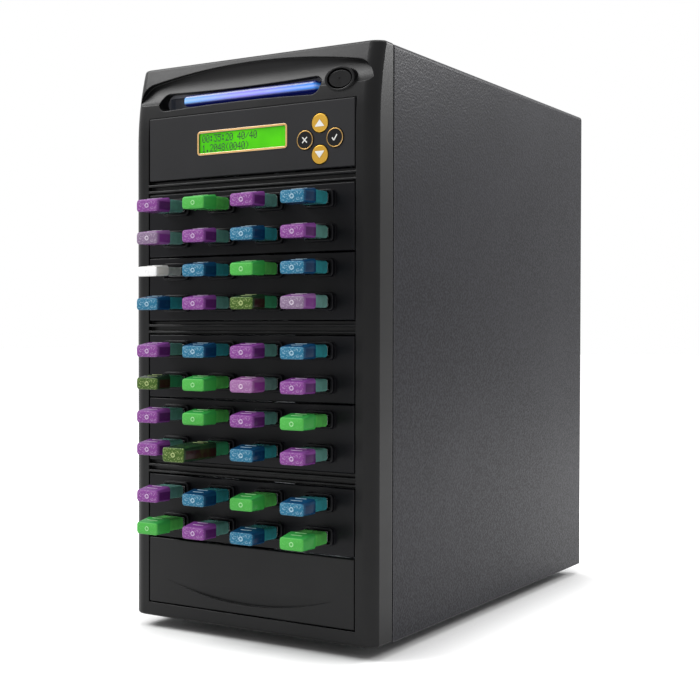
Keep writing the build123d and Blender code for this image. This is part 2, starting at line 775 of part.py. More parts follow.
# Fans: square frame with a spider and a post, rotor on the post, wire guard behind
def fan_frame(x, z, y):
    bar((fan_size, fan_size), hole_corner, [(x, z)], y)
    rod(fan_bore_radius, x, z, (y[0] - past, y[1] + past), Mode.SUBTRACT)
    rod(fan_hub_radius, x, z, (y[0], y[0] + fan_spider))
    for angle in (45, 135):
        with Locations(Location((x, y[0] + fan_spoke / 2, z), (0, angle, 0))):
            Box(2 * (fan_bore_radius + past), fan_spoke, fan_spider)
    rod(fan_post_radius, x, z, (y[0], y[1] - fan_spider))
    for corner_x, corner_z in fan_corners:
        rod(screw_radius, x + corner_x, z + corner_z, (y[0] - past, y[1] + past), Mode.SUBTRACT)


def fan_rotor(x, z, y):
    tip_radius = fan_bore_radius - blade_gap
    span = (y[0] + fan_spider + blade_gap, y[1] - fan_spider)
    middle = (span[0] + span[1]) / 2
    with BuildPart(Plane.XZ.offset(-middle).shift_origin((x, middle, z))) as rotor:
        with PolarLocations((fan_hub_radius + tip_radius) / 2, blade_count):
            Box(tip_radius - fan_hub_radius + 2 * blade_root, blade_thickness, span[1] - span[0],
                rotation=(blade_lean, 0, 0))
        Cylinder(tip_radius, span[1] - span[0] - blade_gap, mode=Mode.INTERSECT)
        Cylinder(fan_hub_radius, span[1] - span[0])
        Cylinder(fan_post_radius + running_gap, span[1] - span[0] + 2 * past,
                 mode=Mode.SUBTRACT)
    return rotor.part


def fan_guard(x, z, y):
    wire = (y, y + guard_wire)
    for ring in guard_rings:
        with BuildSketch(front_plane(y)) as hoop:
            with Locations((x, z)):
                Circle(ring + guard_wire / 2)
                Circle(ring - guard_wire / 2, mode=Mode.SUBTRACT)
        extrude(hoop.sketch, amount=-guard_wire)
    for angle in (45, 135):
        with Locations(Location((x, y + guard_wire / 2, z), (0, angle, 0))):
            Box(fan_hole_pitch * sqrt(2), guard_wire, guard_wire)
    for corner_x, corner_z in fan_corners:
        rod(eyelet_radius, x + corner_x, z + corner_z, wire)
    for corner_x, corner_z in fan_corners:
        rod(screw_radius + screw_slack, x + corner_x, z + corner_z, (y - past, wire[1] + past),
            Mode.SUBTRACT)


case_fan_span = (panel_back - fan_depth, panel_back)
supply_fan_span = (panel_back - gauge - fan_depth, panel_back - gauge)
with BuildPart() as fan_frames:
    fan_frame(0, fan_z, case_fan_span)
    fan_frame(supply_fan_x, supply_z, supply_fan_span)
save(fan_frames.part, "fan_frames")
save(fan_rotor(0, fan_z, case_fan_span), "case_fan_rotor")
save(fan_rotor(supply_fan_x, supply_z, supply_fan_span), "supply_fan_rotor")
with BuildPart() as fan_guards:
    fan_guard(0, fan_z, rear_skin)
    fan_guard(supply_fan_x, supply_z, panel_back)
save(fan_guards.part, "fan_guards")

# Power supply
supply_half = supply_width / 2
board_low = supply_top - supply_height + gauge + board_posts
board_top = board_low + board_thickness
board_y = supply_front + supply_board_setback
with BuildPart() as supply_case:
    block((-supply_half, supply_half), (supply_front, panel_back),
          (supply_top - supply_height, supply_top))
    block((-supply_half + gauge, supply_half - gauge),
          (supply_front + gauge, panel_back - gauge),
          (supply_top - supply_height + gauge, supply_top - gauge), Mode.SUBTRACT)
    cut = (panel_back - gauge - past, panel_back + past)
    rod(fan_bore_radius, supply_fan_x, supply_z, cut, Mode.SUBTRACT)
    for x, z in fan_corners:
        rod(screw_radius + screw_slack, supply_fan_x + x, supply_z + z, cut, Mode.SUBTRACT)
    for x, z in supply_corners:
        rod(screw_radius, x, supply_z + z, cut, Mode.SUBTRACT)
    bar(inlet_size, hole_corner, [inlet_place], cut, Mode.SUBTRACT)
    bar(rocker_body[:2], rocker_corner, [rocker_place], cut, Mode.SUBTRACT)
    with BuildSketch(front_plane(supply_front - past)) as intake:
        with Locations((0, supply_z)):
            with GridLocations(*vent_pitch, *intake_count):
                SlotOverall(*vent_size)
    extrude(amount=-(gauge + 2 * past), mode=Mode.SUBTRACT)
    with Locations((0, board_y + supply_board_size[1] / 2, board_low - board_posts / 2)):
        with GridLocations(*(size - 2 * post_inset for size in supply_board_size), 2, 2):
            Cylinder(post_diameter / 2, board_posts)
save(supply_case.part, "supply_case")

with BuildPart() as supply_board:
    block((-supply_board_size[0] / 2, supply_board_size[0] / 2),
          (board_y, board_y + supply_board_size[1]), (board_low, board_top))
    seated = (Align.CENTER, Align.CENTER, Align.MIN)
    with Locations((0, board_y + transformer_y, board_top)):
        Box(*transformer_size, align=seated)
    with Locations(*((sink_x, board_y + transformer_y, board_top) for sink_x in sink_places)):
        Box(*sink_size, align=seated)
    with Locations(*((0, board_y + can_y, board_top) for can_y in can_places)):
        Cylinder(can_radius, can_height, align=seated)
save(supply_board.part, "supply_board")

# Mains inlet with three pins, and the housing of the rocker switch above it
with BuildPart() as mains_inlet:
    bar(inlet_flange[:2], hole_corner, [inlet_place],
        (panel_back, panel_back + inlet_flange[2]))
    inlet_back = panel_back + inlet_flange[2] - inlet_depth
    inlet_shell = tuple(size - 2 * fit_gap for size in inlet_size)
    bar(inlet_shell, hole_corner, [inlet_place], (inlet_back, panel_back))
    inlet_mouth = panel_back + inlet_flange[2]
    with BuildSketch(front_plane(inlet_mouth)) as cavity:
        with Locations(inlet_place):
            Rectangle(*inlet_cavity[:2])
        chamfer(cavity.vertices().group_by(Axis.Y)[-1], inlet_chamfer)
    extrude(amount=inlet_cavity[2], mode=Mode.SUBTRACT)
    pin_back = inlet_mouth - inlet_cavity[2]
    for pin_x, pin_rise in ((-pin_pitch / 2, 0), (pin_pitch / 2, 0), (0, earth_rise)):
        pin_z = inlet_z - pin_drop + pin_rise
        block((mains_x + pin_x - pin_size[0] / 2, mains_x + pin_x + pin_size[0] / 2),
              (pin_back - past, pin_back + pin_size[2]),
              (pin_z - pin_size[1] / 2, pin_z + pin_size[1] / 2))
save(mains_inlet.part, "mains_inlet")

pivot_y = panel_back - rocker_wall
with BuildPart() as rocker_housing:
    bar(rocker_frame[:2], rocker_corner, [rocker_place],
        (panel_back, panel_back + rocker_frame[2]))
    housing_front = panel_back - rocker_body[2]
    housing = tuple(size - 2 * fit_gap for size in rocker_body[:2])
    bar(housing, rocker_corner, [rocker_place], (housing_front, panel_back))
    pocket = tuple(size + 2 * rocker_pocket_gap for size in rocker_size)
    bar(pocket, fit_gap, [rocker_place],
        (housing_front + rocker_wall, panel_back + rocker_frame[2] + past), Mode.SUBTRACT)
    with Locations(Location((mains_x, pivot_y, rocker_z), (0, 90, 0))):
        Cylinder(rocker_pivot_radius + running_gap, rocker_body[0] - rocker_wall,
                 mode=Mode.SUBTRACT)
save(rocker_housing.part, "rocker_housing")

# Rocker: two faces that meet over its pivot, tipped so that the lower face is pressed in
rocker_half_x, rocker_half_z = rocker_size[0] / 2, rocker_size[1] / 2
face_reach = rocker_frame[2] + rocker_wall
with BuildPart() as supply_switch:
    with BuildSketch(Plane.YZ) as rocker_side:
        with BuildLine():
            tilt = radians(rocker_half_throw)
            peak = face_reach + rocker_rise
            end = rocker_half_z - rocker_end_gap
            root, root_half = rocker_root
            Polyline((0, -end), (peak, -end), (peak - end * sin(tilt), 0), (peak, end), (0, end),
                     (-root, root_half), (-root, -root_half), close=True)
        make_face()
    extrude(amount=rocker_half_x, both=True)
    with Locations(Location((0, 0, 0), (0, 90, 0))):
        Cylinder(rocker_pivot_radius, rocker_body[0] - rocker_wall - 2 * fit_gap)
rocker_placed = supply_switch.part.rotate(Axis.X, -rocker_half_throw)
rocker_placed = rocker_placed.translate((mains_x, pivot_y, rocker_z))
rocker_placed.label = "supply_switch"
export_step(rocker_placed, "parts/supply_switch.step")


# Screws: heads outside, shanks through the sheets
def rear_screw(x, z, head_face, length):
    rod(head_radius, x, z, (head_face, head_face + head_height))
    rod(screw_radius - running_gap, x, z, (head_face - length, head_face))


with BuildPart() as cover_screws:
    for side_sign in (-1, 1):
        for screw_z in screw_levels:
            rear_screw(side_sign * flange_screw_x, screw_z, rear, screw_length)
save(cover_screws.part, "cover_screws")

with BuildPart() as rear_screws:
    for x, z in fan_corners:
        rear_screw(x, fan_z + z, rear_skin + guard_wire, screw_length + guard_wire)
        rear_screw(supply_fan_x + x, supply_z + z, panel_back + guard_wire,
                   screw_length + guard_wire)
    for x, z in supply_corners:
        rear_screw(x, supply_z + z, rear_skin, screw_length)
save(rear_screws.part, "rear_screws")

with BuildPart() as module_screws:
    for side_sign in (-1, 1):
        for bay_z in (*usb_bays, control_z, cover_z):
            head_x = side_sign * (cage_in + gauge)
            for radius, near, far in (
                (head_radius, head_x, head_x + side_sign * head_height),
                (screw_radius - running_gap, head_x - side_sign * module_screw_length, head_x),
            ):
                with Locations(Location(
                        ((near + far) / 2, face + module_screw_y, bay_z), (0, 90, 0))):
                    Cylinder(radius, abs(far - near))
save(module_screws.part, "module_screws")

# Feet: tapered rubber, seated on the floor pan
with BuildPart() as feet:
    for x in (-foot_x, foot_x):
        for y in (face + foot_inset, rear - foot_inset):
            with Locations((x, y, sheet_floor / 2)):
                Cone(foot_radius - foot_taper, foot_radius, sheet_floor)
save(feet.part, "feet")
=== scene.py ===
import json
import math

import bmesh
import bpy
from mathutils import Matrix, Vector


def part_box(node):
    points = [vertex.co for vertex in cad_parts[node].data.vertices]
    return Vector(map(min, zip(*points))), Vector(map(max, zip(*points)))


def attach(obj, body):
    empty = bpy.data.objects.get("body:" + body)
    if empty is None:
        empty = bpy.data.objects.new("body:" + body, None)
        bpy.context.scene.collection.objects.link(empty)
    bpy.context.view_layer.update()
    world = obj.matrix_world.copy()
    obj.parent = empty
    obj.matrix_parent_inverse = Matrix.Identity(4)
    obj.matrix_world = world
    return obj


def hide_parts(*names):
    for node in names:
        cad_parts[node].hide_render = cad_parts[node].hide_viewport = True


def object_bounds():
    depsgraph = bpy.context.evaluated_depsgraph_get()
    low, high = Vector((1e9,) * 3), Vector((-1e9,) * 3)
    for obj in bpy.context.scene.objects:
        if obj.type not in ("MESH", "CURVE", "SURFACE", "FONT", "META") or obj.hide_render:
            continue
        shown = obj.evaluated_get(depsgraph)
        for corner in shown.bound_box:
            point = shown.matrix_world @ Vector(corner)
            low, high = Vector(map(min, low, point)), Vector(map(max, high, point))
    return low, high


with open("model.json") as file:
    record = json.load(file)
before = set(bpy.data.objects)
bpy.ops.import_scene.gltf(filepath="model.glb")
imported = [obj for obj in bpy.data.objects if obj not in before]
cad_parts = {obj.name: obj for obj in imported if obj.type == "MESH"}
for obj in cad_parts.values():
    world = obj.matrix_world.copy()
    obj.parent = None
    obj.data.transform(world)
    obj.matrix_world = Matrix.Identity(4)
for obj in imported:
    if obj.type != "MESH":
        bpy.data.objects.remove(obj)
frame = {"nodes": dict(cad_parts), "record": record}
cadLow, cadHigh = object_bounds()

mm = 0.001  # the pieces' sizes below are in millimetres, the room's in metres
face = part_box("control_panel")[0].y  # front of the bay panels
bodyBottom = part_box("front_bezel")[0].z  # the feet are below it


# Shader sums written as Python expressions

class Wire:
    def __init__(self, recipe, socket):
        self.recipe, self.socket = recipe, socket

    def math(self, operation, first, second):
        return self.recipe.node("ShaderNodeMath", {"operation": operation}, {0: first, 1: second})

    def __add__(self, other):
        return self.math("ADD", self, other)

    def __radd__(self, other):
        return self.math("ADD", other, self)

    def __sub__(self, other):
        return self.math("SUBTRACT", self, other)

    def __rsub__(self, other):
        return self.math("SUBTRACT", other, self)

    def __mul__(self, other):
        return self.math("MULTIPLY", self, other)

    def __rmul__(self, other):
        return self.math("MULTIPLY", other, self)

    def __pow__(self, other):
        return self.math("POWER", self, other)

    def __abs__(self):
        return self.recipe.node("ShaderNodeMath", {"operation": "ABSOLUTE"}, {0: self})


class Recipe:
    def __init__(self, name, world=None):
        self.block = world or bpy.data.materials.new(name)
        self.block.use_nodes = True
        self.tree = self.block.node_tree
        self.shader = self.tree.nodes.get("Principled BSDF")

    def node(self, kind, settings=None, inputs=None, output=0):
        made = self.tree.nodes.new(kind)
        for key, value in (settings or {}).items():
            setattr(made, key, value)
        for key, value in (inputs or {}).items():
            self.join(made.inputs[key], value)
        return Wire(self, made.outputs[output])

    def join(self, socket, value):
        if isinstance(value, Wire):
            self.tree.links.new(value.socket, socket)
        elif isinstance(value, str):
            socket.default_value = colour(value)
        else:
            socket.default_value = value

    def set(self, **values):  # sockets of the shader itself, with _ for a space
        for key, value in values.items():
            self.join(self.shader.inputs[key.replace("_", " ")], value)
        return self

    def place(self, scale=1.0, stretch=(1, 1, 1)):  # position on the piece, which rides with it
        spot = self.node("ShaderNodeTexCoord", output="Object")
        size = [scale * side for side in stretch]
        return self.node("ShaderNodeVectorMath", {"operation": "MULTIPLY"}, {0: spot, 1: size})

    def axis(self, name, scale=1.0):
        return self.node("ShaderNodeSeparateXYZ", {}, {0: self.place(scale)}, name)

    def noise(self, scale, detail=3.0, roughness=0.5, stretch=(1, 1, 1)):
        return self.node("ShaderNodeTexNoise", {}, {
            "Vector": self.place(1.0, stretch), "Scale": scale, "Detail": detail, "Roughness": roughness})

    def cells(self, scale, feature="F1"):
        return self.node("ShaderNodeTexVoronoi", {"feature": feature}, {
            "Vector": self.place(), "Scale": scale})

    def spread(self, value, low, high, first=0.0, last=1.0):  # eased from first at low to last at high
        return self.node("ShaderNodeMapRange", {"interpolation_type": "SMOOTHSTEP", "clamp": True}, {
            "Value": value, "From Min": low, "From Max": high, "To Min": first, "To Max": last})

    def mix(self, share, first, second):  # two colours; 0, 6, 7 and 2 are the node's colour sockets
        return self.node("ShaderNodeMix", {"data_type": "RGBA"}, {0: share, 6: first, 7: second}, 2)

    def bump(self, height, strength, distance, under=None):
        links = {"Height": height, "Strength": strength, "Distance": distance}
        if under:
            links["Normal"] = under
        return self.node("ShaderNodeBump", {}, links)

    def softEdge(self, radius):
        return self.node("ShaderNodeBevel", {"samples": 6}, {"Radius": radius})

    def edgeGlintMask(self, radius):  # near 1 on edges, 0 elsewhere; the finishes use it to paint a highlight along edges
        straight = self.node("ShaderNodeNewGeometry", output="Normal")
        turned = self.node("ShaderNodeVectorMath", {"operation": "DOT_PRODUCT"},
                           {0: self.softEdge(radius), 1: straight}, "Value")
        return self.spread(turned, 0.995, 0.9)


def colour(text):  # six hexadecimal digits as they look on a screen
    parts = [int(text[i:i + 2], 16) / 255 for i in (0, 2, 4)]
    return [part / 12.92 if part <= 0.04045 else ((part + 0.055) / 1.055) ** 2.4
            for part in parts] + [1.0]


# Finishes

def mouldedPlastic(name, base, pale, gloss, grain, strength, shine, edge):
    recipe = Recipe(name)
    cloud = recipe.noise(14, 4)
    fine = recipe.noise(grain, 2)
    paintedEdgeHighlight = recipe.edgeGlintMask(edge)
    tone = recipe.mix(recipe.spread(cloud, 0.35, 0.7, 0.0, 0.5), base, pale)
    # edges mixed toward the pale tone: a painted highlight
    tone = recipe.mix(paintedEdgeHighlight * 0.5, tone, pale)
    streak = recipe.noise(60, 3, 0.6, (1, 1, 4))
    rough = gloss + (fine - 0.5) * 0.12 + (streak - 0.5) * 0.1
    normal = recipe.bump(fine, strength, 0.2 * mm, recipe.softEdge(edge))
    return recipe.set(Base_Color=tone, Roughness=rough, Normal=normal, Specular_IOR_Level=shine).block


# edge is a pale grey painted along the coat's edges as a highlight
coatLook = {"low": "151519", "high": "2b2b31", "cloud": "323237", "edge": "a6a6aa", "warp": 240,
            "leather": 760, "fine": 3200, "edgeRadius": 0.8 * mm, "depth": 0.2 * mm, "strength": 0.45,
            "rough": (0.4, 0.28), "shine": 0.09}


def powderCoat():
    recipe = Recipe("powderCoat")
    warp = recipe.noise(coatLook["warp"], 2)
    leather = recipe.cells(coatLook["leather"], "SMOOTH_F1")
    fine = recipe.noise(coatLook["fine"], 2)
    pits = recipe.spread(leather, 0.1, 0.75)
    grain = pits * 0.6 + fine * 0.3 + warp * 0.4
    cloud = recipe.noise(9, 4, 0.6)
    tone = recipe.mix(recipe.spread(grain, 0.3, 1.0), coatLook["low"], coatLook["high"])
    tone = recipe.mix(recipe.spread(cloud, 0.4, 0.75, 0.0, 0.35), tone, coatLook["cloud"])
    # edges mixed toward the pale edge grey: a painted highlight
    tone = recipe.mix(recipe.edgeGlintMask(coatLook["edgeRadius"]) * 0.5, tone, coatLook["edge"])
    rough = recipe.spread(grain, 0.2, 1.1, *coatLook["rough"])
    normal = recipe.bump(grain, coatLook["strength"], coatLook["depth"],
                         recipe.softEdge(coatLook["edgeRadius"]))
    return recipe.set(Base_Color=tone, Roughness=rough, Normal=normal,
                      Specular_IOR_Level=coatLook["shine"]).block


def plate(name, base, dark, rough, scale=900, stretch=(1, 1, 1)):
    recipe = Recipe(name)
    brushed = recipe.noise(scale, 3, 0.6, stretch)
    cloud = recipe.noise(30, 3)
    tone = recipe.mix(recipe.spread(cloud, 0.3, 0.7, 0.0, 0.6), base, dark)
    # edges mixed toward white: a painted highlight
    tone = recipe.mix(recipe.edgeGlintMask(0.3 * mm) * 0.4, tone, "ffffff")
    normal = recipe.bump(brushed, 0.1, 0.1 * mm, recipe.softEdge(0.2 * mm))
    return recipe.set(Base_Color=tone, Roughness=rough + (brushed - 0.5) * 0.15,
                      Normal=normal, Metallic=1.0).block


def glossy(name, base, pale, rough=0.22, coat=0.5):
    recipe = Recipe(name)
    cloud = recipe.noise(120, 3)
    scratch = recipe.noise(900, 2, 0.5, (1, 1, 6))
    tone = recipe.mix(recipe.spread(cloud, 0.35, 0.7, 0.0, 0.5), base, pale)
    normal = recipe.bump(scratch, 0.04, 0.1 * mm, recipe.softEdge(0.2 * mm))
    return recipe.set(Base_Color=tone, Roughness=rough + (cloud - 0.5) * 0.1, Normal=normal,
                      Specular_IOR_Level=0.2, Coat_Weight=coat, Coat_Roughness=0.15).block


rubberLook = {"dark": "1b1b1c", "pale": "2a2a2b", "grain": 1500}


def rubber():
    recipe = Recipe("footRubber")
    fine = recipe.noise(rubberLook["grain"], 3)
    tone = recipe.mix(fine, rubberLook["dark"], rubberLook["pale"])
    return recipe.set(Base_Color=tone, Roughness=0.75,
                      Normal=recipe.bump(fine, 0.3, 0.2 * mm, recipe.softEdge(0.5 * mm))).block


boardLook = {"ground": "12402a", "track": "2f7a4d", "tracks": 260}


def circuitBoard():
    recipe = Recipe("circuitBoard")
    tracks = recipe.cells(boardLook["tracks"], "DISTANCE_TO_EDGE")
    copper = recipe.spread(tracks, 0.03, 0.06, 1.0, 0.0)
    tone = recipe.mix(copper, boardLook["ground"], boardLook["track"])
    return recipe.set(Base_Color=tone, Roughness=0.4 - copper * 0.1,
                      Normal=recipe.bump(copper, 0.2, 0.1 * mm)).block


displayLook = {"lit": "50c808", "rim": "3cae06", "dots": "2f9a10", "character": 3.1 * mm,
               "dotsAcross": 5, "strength": 0.25, "ink": ("042402", "083606")}


def displayGlass():
    recipe = Recipe("displayGlass")
    columns = recipe.axis("X", math.tau / displayLook["character"] * displayLook["dotsAcross"])
    dots = recipe.node("ShaderNodeMath", {"operation": "SINE"}, {0: columns})
    cloud = recipe.noise(45, 2)
    tone = recipe.mix(recipe.spread(cloud, 0.3, 0.7, 0.0, 0.8), displayLook["lit"], displayLook["rim"])
    tone = recipe.mix(recipe.spread(dots, 0.4, 1.0, 0.0, 0.12), tone, displayLook["dots"])
    return recipe.set(Base_Color=tone, Roughness=0.25, Emission_Color=tone,
                      Emission_Strength=displayLook["strength"], Specular_IOR_Level=0.2).block


def displayInk():
    recipe = Recipe("displayInk")
    fade = recipe.noise(700, 2)
    tone = recipe.mix(fade, *displayLook["ink"])
    return recipe.set(Base_Color=tone, Roughness=0.4).block


tubeLook = {"core": "a9b8ee", "left": "6aa6e6", "middle": "857fe2", "right": "3582dc", "edge": "070f52",
            "strength": 0.42}


def litTube():
    recipe = Recipe("litTube")
    low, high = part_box("light_tube")
    middle, half = (low + high) / 2, (high.z - low.z) / 2
    away = abs(recipe.axis("Z") - middle.z)
    along = recipe.axis("X")
    glow = recipe.mix(recipe.spread(along, low.x, middle.x), tubeLook["left"], tubeLook["middle"])
    glow = recipe.mix(recipe.spread(along, middle.x, high.x), glow, tubeLook["right"])
    inner = recipe.spread(away, 0.0, half * 0.34, 1.0, 0.0)
    outer = recipe.spread(away, half * 0.26, half * 0.72, 1.0, 0.0)
    frost = recipe.noise(350, 3, 0.6, (0.3, 1, 1))
    tone = recipe.mix(outer, tubeLook["edge"], glow)
    tone = recipe.mix(inner * (0.25 + frost * 0.6), tone, tubeLook["core"])
    return recipe.set(Base_Color=tone, Roughness=0.3, Emission_Color=tone,
                      Emission_Strength=tubeLook["strength"]).block


# end is the end face's tone, painted paler than the rest as if lit by the lamps
stickLooks = {
    "purple": {"end": "84448f", "side": "40104a", "top": "7b3f8a", "neck": "5f948a", "glintAndSpeck": "e2cdea",
               "speck": 0.4},
    "lilac": {"end": "86708c", "side": "6a2676", "top": "8a5a94", "neck": "6fa097", "glintAndSpeck": "efe4f2",
              "speck": 0.35},
    "pink": {"end": "9c6a9e", "side": "7a2a7e", "top": "915a92", "neck": "6f8f8a", "glintAndSpeck": "f2def0",
             "speck": 0.25},
    "blue": {"end": "2a7090", "side": "07284a", "top": "103e62", "neck": "2c8a92", "glintAndSpeck": "c4e2f0",
             "speck": 0.5},
    "green": {"end": "4fb04c", "side": "3a9c42", "top": "379a47", "neck": "55b852", "glintAndSpeck": "b4eeae",
              "speck": 0.12},
    "olive": {"end": "405c22", "side": "2a0a10", "top": "1c3020", "neck": "358a5c", "glintAndSpeck": "c9da92",
              "speck": 0.5},
    "silver": {"end": "ffffff", "side": "cac6be", "top": "d6d4d0", "neck": "b0b2ae", "glintAndSpeck": "ffffff",
               "speck": 0.1},
}
capLook = {"side": (2.2 * mm, 3.1 * mm), "front": (1.6 * mm, 2.6 * mm), "specks": 1000,
           "shine": 0.14, "clearDark": "262e2c"}


def tintedPlastic(name, look):  # darker in a window on each side, speckled on the end; the end face is painted paler as if lit, with a painted highlight on its edges, and faces turned down get painted shade
    recipe = Recipe(name)
    turned = recipe.node("ShaderNodeTexCoord", output="Normal")
    ahead, beside, above = (recipe.node("ShaderNodeSeparateXYZ", {}, {0: turned}, axis)
                            for axis in ("Y", "X", "Z"))
    facing = recipe.spread(ahead, -0.45, -0.85)
    flank = recipe.spread(abs(beside), 0.6, 0.9)
    window = (recipe.spread(abs(recipe.axis("Z")), *capLook["side"], 1.0, 0.0)
              * recipe.spread(recipe.axis("Y"), *capLook["front"]))
    speck = recipe.cells(capLook["specks"])
    frost = recipe.spread(speck, 0.1, 0.5, look["speck"], 0.0)
    cloud = recipe.noise(180, 3)
    end = recipe.mix(frost, look["end"], look["glintAndSpeck"])
    # edges of the end mixed toward the pale colour: a painted highlight
    end = recipe.mix(recipe.edgeGlintMask(0.6 * mm) * 0.5, end, look["glintAndSpeck"])
    side = recipe.mix(flank * window * 0.85, look["top"], look["side"])
    side = recipe.mix(recipe.spread(cloud, 0.45, 0.8, 0.0, 0.25), side, look["end"])
    # faces turned down take the darker side tone: painted shade
    side = recipe.mix(recipe.spread(above, -0.5, -0.95, 0.0, 0.6), side, look["side"])
    # faces turned to the front take the paler end tone: painted light
    tone = recipe.mix(facing, side, end)
    rough = 0.2 + facing * 0.3 + (cloud - 0.5) * 0.1
    return recipe.set(Base_Color=tone, Roughness=rough, Normal=recipe.bump(speck, 0.12, 0.1 * mm),
                      Specular_IOR_Level=capLook["shine"]).block


def clearNeck(name, look):
    recipe = Recipe(name)
    cloud = recipe.noise(150, 3)
    tone = recipe.mix(recipe.spread(cloud, 0.35, 0.75, 0.0, 0.35), look["neck"], capLook["clearDark"])
    return recipe.set(Base_Color=tone, Roughness=0.18 + cloud * 0.1, Coat_Weight=0.15,
                      Coat_Roughness=0.1).block


# the pale finish of a stick's ring and bars: a painted highlight
def paleGlint(name, look):
    recipe = Recipe(name)
    fade = recipe.noise(1200, 2)
    tone = recipe.mix(fade * 0.5, look["glintAndSpeck"], look["end"])
    return recipe.set(Base_Color=tone, Roughness=0.3, Coat_Weight=0.3).block


mouldings = {  # dark and pale tone, roughness, grain's cells and strength, shine, edge's radius
    "frontPlastic": ("0e0e0f", "1a1a1b", 0.34, 1600, 0.12, 0.17, 0.8 * mm),
    "bayPlastic": ("0c0c0f", "17171b", 0.34, 1400, 0.12, 0.12, 0.4 * mm),
    "panelPlastic": ("18181a", "212124", 0.5, 1800, 0.12, 0.2, 0.4 * mm),
    "innerPlastic": ("141416", "232326", 0.4, 1200, 0.15, 0.3, 0.3 * mm),
    "reflectorPlastic": ("6d6e74", "86878d", 0.35, 1200, 0.08, 0.4, 0.3 * mm),
    "whitePlastic": ("d9d9d6", "e6e6e2", 0.35, 1200, 0.1, 0.5, 0.2 * mm),
}
moulded = {name: mouldedPlastic(name, *look) for name, look in mouldings.items()}
coatedSteel = powderCoat()
zincPlate = plate("zincPlate", "b4b7ba", "8f9296", 0.35, 700, (1, 1, 3))
brightPlate = plate("brightPlate", "c9cbce", "9a9da1", 0.22, 900, (1, 0.3, 1))
socketPlate = plate("socketPlate", "303236", "1e2022", 0.34, 900, (1, 0.3, 1))
blackScrew = plate("blackScrew", "3a3b3d", "242526", 0.3, 900)
copperFrame = plate("copperFrame", "d2a86c", "b08648", 0.34, 900)
goldKey = plate("goldKey", "c39c42", "a88030", 0.4, 900)
goldRing = plate("goldRing", "b48e4c", "8a6a34", 0.36, 900)
blackKey = glossy("blackKey", "060607", "0f0f11", 0.25, 0.03)
blackButton = glossy("blackButton", "0a0a0b", "161618", 0.28, 0.05)
whiteInk = glossy("whiteInk", "f2f2ee", "dcdcd8", 0.35, 0.1)
feetRubber = rubber()
boardGreen = circuitBoard()
glassGreen = displayGlass()
inkGreen = displayInk()
blueTube = litTube()
print("finishes made")

nodeFinish = {  # by the record's slots
    "front_moulding": moulded["frontPlastic"], "control_panel": moulded["panelPlastic"],
    "usb_panel": moulded["bayPlastic"], "inner_plastic": moulded["innerPlastic"],
    "reflector": moulded["reflectorPlastic"], "tongue": moulded["whitePlastic"],
    "display": glassGreen, "display_trim": copperFrame, "key_gold": goldKey,
    "key_black": blackKey, "board": boardGreen, "light_tube": blueTube,
    "power_button": blackButton, "socket_shell": socketPlate, "stick": moulded["innerPlastic"],
    "cover_steel": coatedSteel, "plain_steel": zincPlate, "rubber": feetRubber,
    "screw": blackScrew, "guard_wire": brightPlate,
}
for part in frame["record"]["subparts"]:
    node = frame["nodes"][part["node"]]
    node.data.materials.clear()
    node.data.materials.append(nodeFinish[part["material_slot"]])
print("frame dressed")


# Meshes

class Shape:
    def __init__(self):
        self.mesh = bmesh.new()

    def loft(self, rings, finish=0, looped=False):  # a skin over rings of as many points each
        made = [[self.mesh.verts.new(point) for point in ring] for ring in rings]
        faces = []
        for near, far in zip(made, made[1:] + made[:1] if looped else made[1:]):
            for i in range(len(near)):
                j = (i + 1) % len(near)
                faces.append(self.mesh.faces.new((near[i], near[j], far[j], far[i])))
        if not looped:
            faces += [self.mesh.faces.new(made[0][::-1]), self.mesh.faces.new(made[-1])]
        for item in faces:
            item.material_index = finish

    def boxes(self, spots, size):
        for spot in spots:
            bmesh.ops.create_cube(self.mesh, size=1.0,
                                  matrix=Matrix.Translation(spot) @ Matrix.Diagonal((*size, 1.0)))

    def piece(self, name, body, finishes, sharp=40, spot=(0, 0, 0)):
        bmesh.ops.recalc_face_normals(self.mesh, faces=self.mesh.faces)
        data = bpy.data.meshes.new(name)
        self.mesh.to_mesh(data)
        self.mesh.free()
        for finish in finishes:
            data.materials.append(finish)
        data.shade_smooth()
        data.set_sharp_from_angle(angle=math.radians(sharp))
        made = bpy.data.objects.new(name, data)
        made.location = spot
        bpy.context.scene.collection.objects.link(made)
        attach(made, body)
        return made


sliver = 0.001 * mm  # straight edge that a ring keeps at least


def roundedRing(x, y, z, width, height, corner, steps=5):
    corner = min(corner, width / 2 - sliver, height / 2 - sliver)
    points = []
    for quarter, (side, rise) in enumerate(((1, 1), (-1, 1), (-1, -1), (1, -1))):
        for step in range(steps + 1):
            angle = (quarter + step / steps) * math.pi / 2
            points.append(Vector((x + side * (width / 2 - corner) + corner * math.cos(angle), y,
                                  z + rise * (height / 2 - corner) + corner * math.sin(angle))))
    return points


def circleRing(centre, radius, steps, across, up):
    return [centre + radius * (math.cos(math.tau * i / steps) * across
                               + math.sin(math.tau * i / steps) * up) for i in range(steps)]


def hoop(shape, centre, radius, wire, finish, steps, sides=8):
    rings = []
    for i in range(steps):
        angle = math.tau * i / steps
        out = Vector((math.cos(angle), 0, math.sin(angle)))
        rings.append(circleRing(centre + out * radius, wire, sides, out, Vector((0, 1, 0))))
    shape.loft(rings, finish, looped=True)


def rod(shape, start, end, radius, sides=10):
    along = (end - start).normalized()
    across = along.cross(Vector((0, 1, 0)) if abs(along.y) < 0.9 else Vector((1, 0, 0))).normalized()
    up = along.cross(across)
    shape.loft([circleRing(start, radius, sides, across, up),
                circleRing(end, radius, sides, across, up)])


# Sticks: each has its own origin in the middle of its tip

